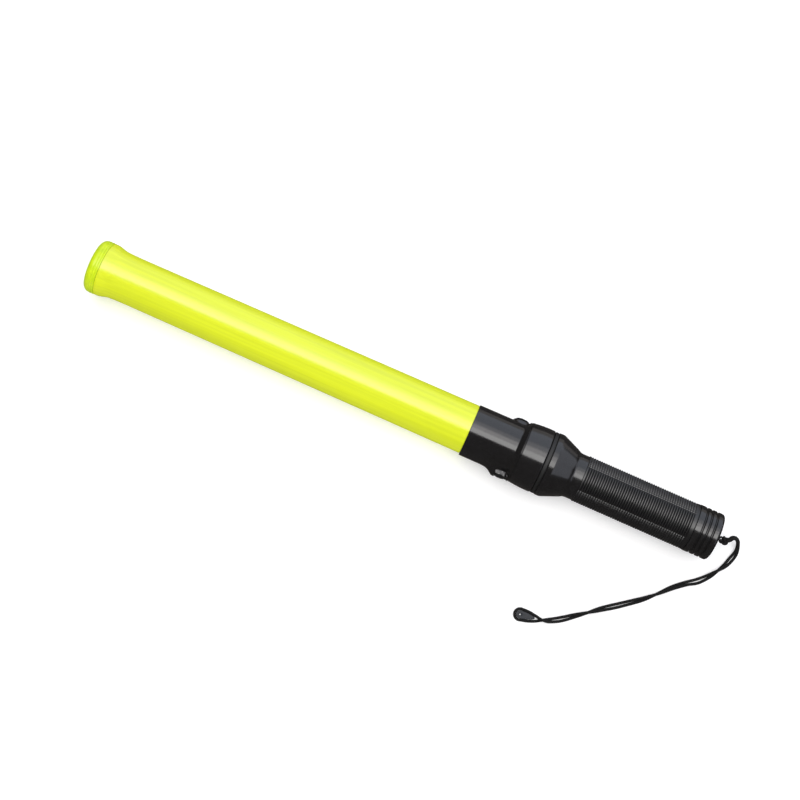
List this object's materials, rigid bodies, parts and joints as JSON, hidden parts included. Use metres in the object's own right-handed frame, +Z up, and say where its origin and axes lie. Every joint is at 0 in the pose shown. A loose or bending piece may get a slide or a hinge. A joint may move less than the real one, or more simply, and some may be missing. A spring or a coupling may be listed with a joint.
{
  "type": "traffic baton light",
  "caption": "Hand-held traffic signal baton: flared fluorescent light tube, switch head with push buttons, ribbed battery grip, screw-on tail cap and twisted wrist cord.",
  "frame": {"origin": "under the middle of the baton's length, on the surface that its widest ring lies on (bottom centre of the box without the strap)", "axes": "+X along the baton towards the strap end (the light tube's tip is at -X), +Y towards the low side button (the guarded main button faces -Y), +Z up from the surface it lies on"},
  "size_m": [0.5664, 0.148, 0.0526],
  "materials": {
    "battery": "satin",
    "black_wire": "satin",
    "button_rubber": "satin",
    "cap_plastic": "satin",
    "capacitor": "satin",
    "circuit_board": "satin",
    "contact_brass": "satin",
    "eye_steel": "satin",
    "handle_plastic": "satin",
    "head_plastic": "satin",
    "inner_plastic": "matte",
    "led_lens": "gloss",
    "light_tube": "gloss",
    "red_wire": "satin",
    "screw_steel": "satin",
    "seal_rubber": "matte",
    "spring_steel": "satin",
    "strap_cord": "matte",
    "strap_tab": "satin",
    "switch_plastic": "matte",
    "tip_cap": "satin"
  },
  "bodies": {
    "light_body": {"battery_front": "battery", "battery_rear": "battery", "board_head_holder": "inner_plastic", "board_screw_1": "screw_steel", "board_screw_2": "screw_steel", "board_screw_3": "screw_steel", "board_tip_holder": "inner_plastic", "contact_strip": "contact_brass", "control_board": "circuit_board", "driver_chip": "switch_plastic", "filter_capacitor": "capacitor", "front_contact": "contact_brass", "handle_shell": "handle_plastic", "head_collar": "head_plastic", "led_board": "circuit_board", "led_lower_1": "led_lens", "led_lower_2": "led_lens", "led_lower_3": "led_lens", "led_lower_4": "led_lens", "led_upper_1": "led_lens", "led_upper_2": "led_lens", "led_upper_3": "led_lens", "led_upper_4": "led_lens", "led_wire_black": "black_wire", "led_wire_red": "red_wire", "light_tube": "light_tube", "main_switch": "switch_plastic", "main_switch_lead": "red_wire", "seam_gasket": "seal_rubber", "side_switch": "switch_plastic", "side_switch_lead": "black_wire", "switch_frame": "inner_plastic", "switch_housing": "head_plastic", "tip_cap": "tip_cap"},
    "main_button": {"main_button": "button_rubber", "main_button_spring": "spring_steel"},
    "side_button": {"side_button": "button_rubber", "side_button_spring": "spring_steel"},
    "strap_carrier": {"strap_eye": "eye_steel", "strap_knot": "strap_cord", "strap_cord": "strap_cord", "strap_end_tab": "strap_tab"},
    "tail_cap": {"tail_cap": "cap_plastic", "tail_o_ring": "seal_rubber", "tail_contact_cup": "contact_brass", "tail_spring": "spring_steel"}
  },
  "joints": [
    {"name": "main_button_press", "type": "slide", "parent": "light_body", "child": "main_button", "axis": [0, 1, 0], "range_m": [0, 0.0015], "stiffness_N_per_m": 1500, "springref_m": -0.0006, "deforming": ["main_button_spring"]},
    {"name": "side_button_press", "type": "slide", "parent": "light_body", "child": "side_button", "axis": [0, -1, 0], "range_m": [0, 0.0012], "stiffness_N_per_m": 1500, "springref_m": -0.0006, "deforming": ["side_button_spring"]},
    {"name": "cap_travel", "type": "slide", "parent": "light_body", "child": "strap_carrier", "axis": [1, 0, 0], "range_m": [0, 0.007]},
    {"name": "cap_turn", "type": "hinge", "parent": "strap_carrier", "child": "tail_cap", "pos_m": [0.27, 0, 0.0263], "axis": [1, 0, 0], "range_deg": [0, 900.5]}
  ],
  "couplings": [
    {"joint": "cap_turn", "follows": "cap_travel", "rad_per_m": 2244}
  ]
}
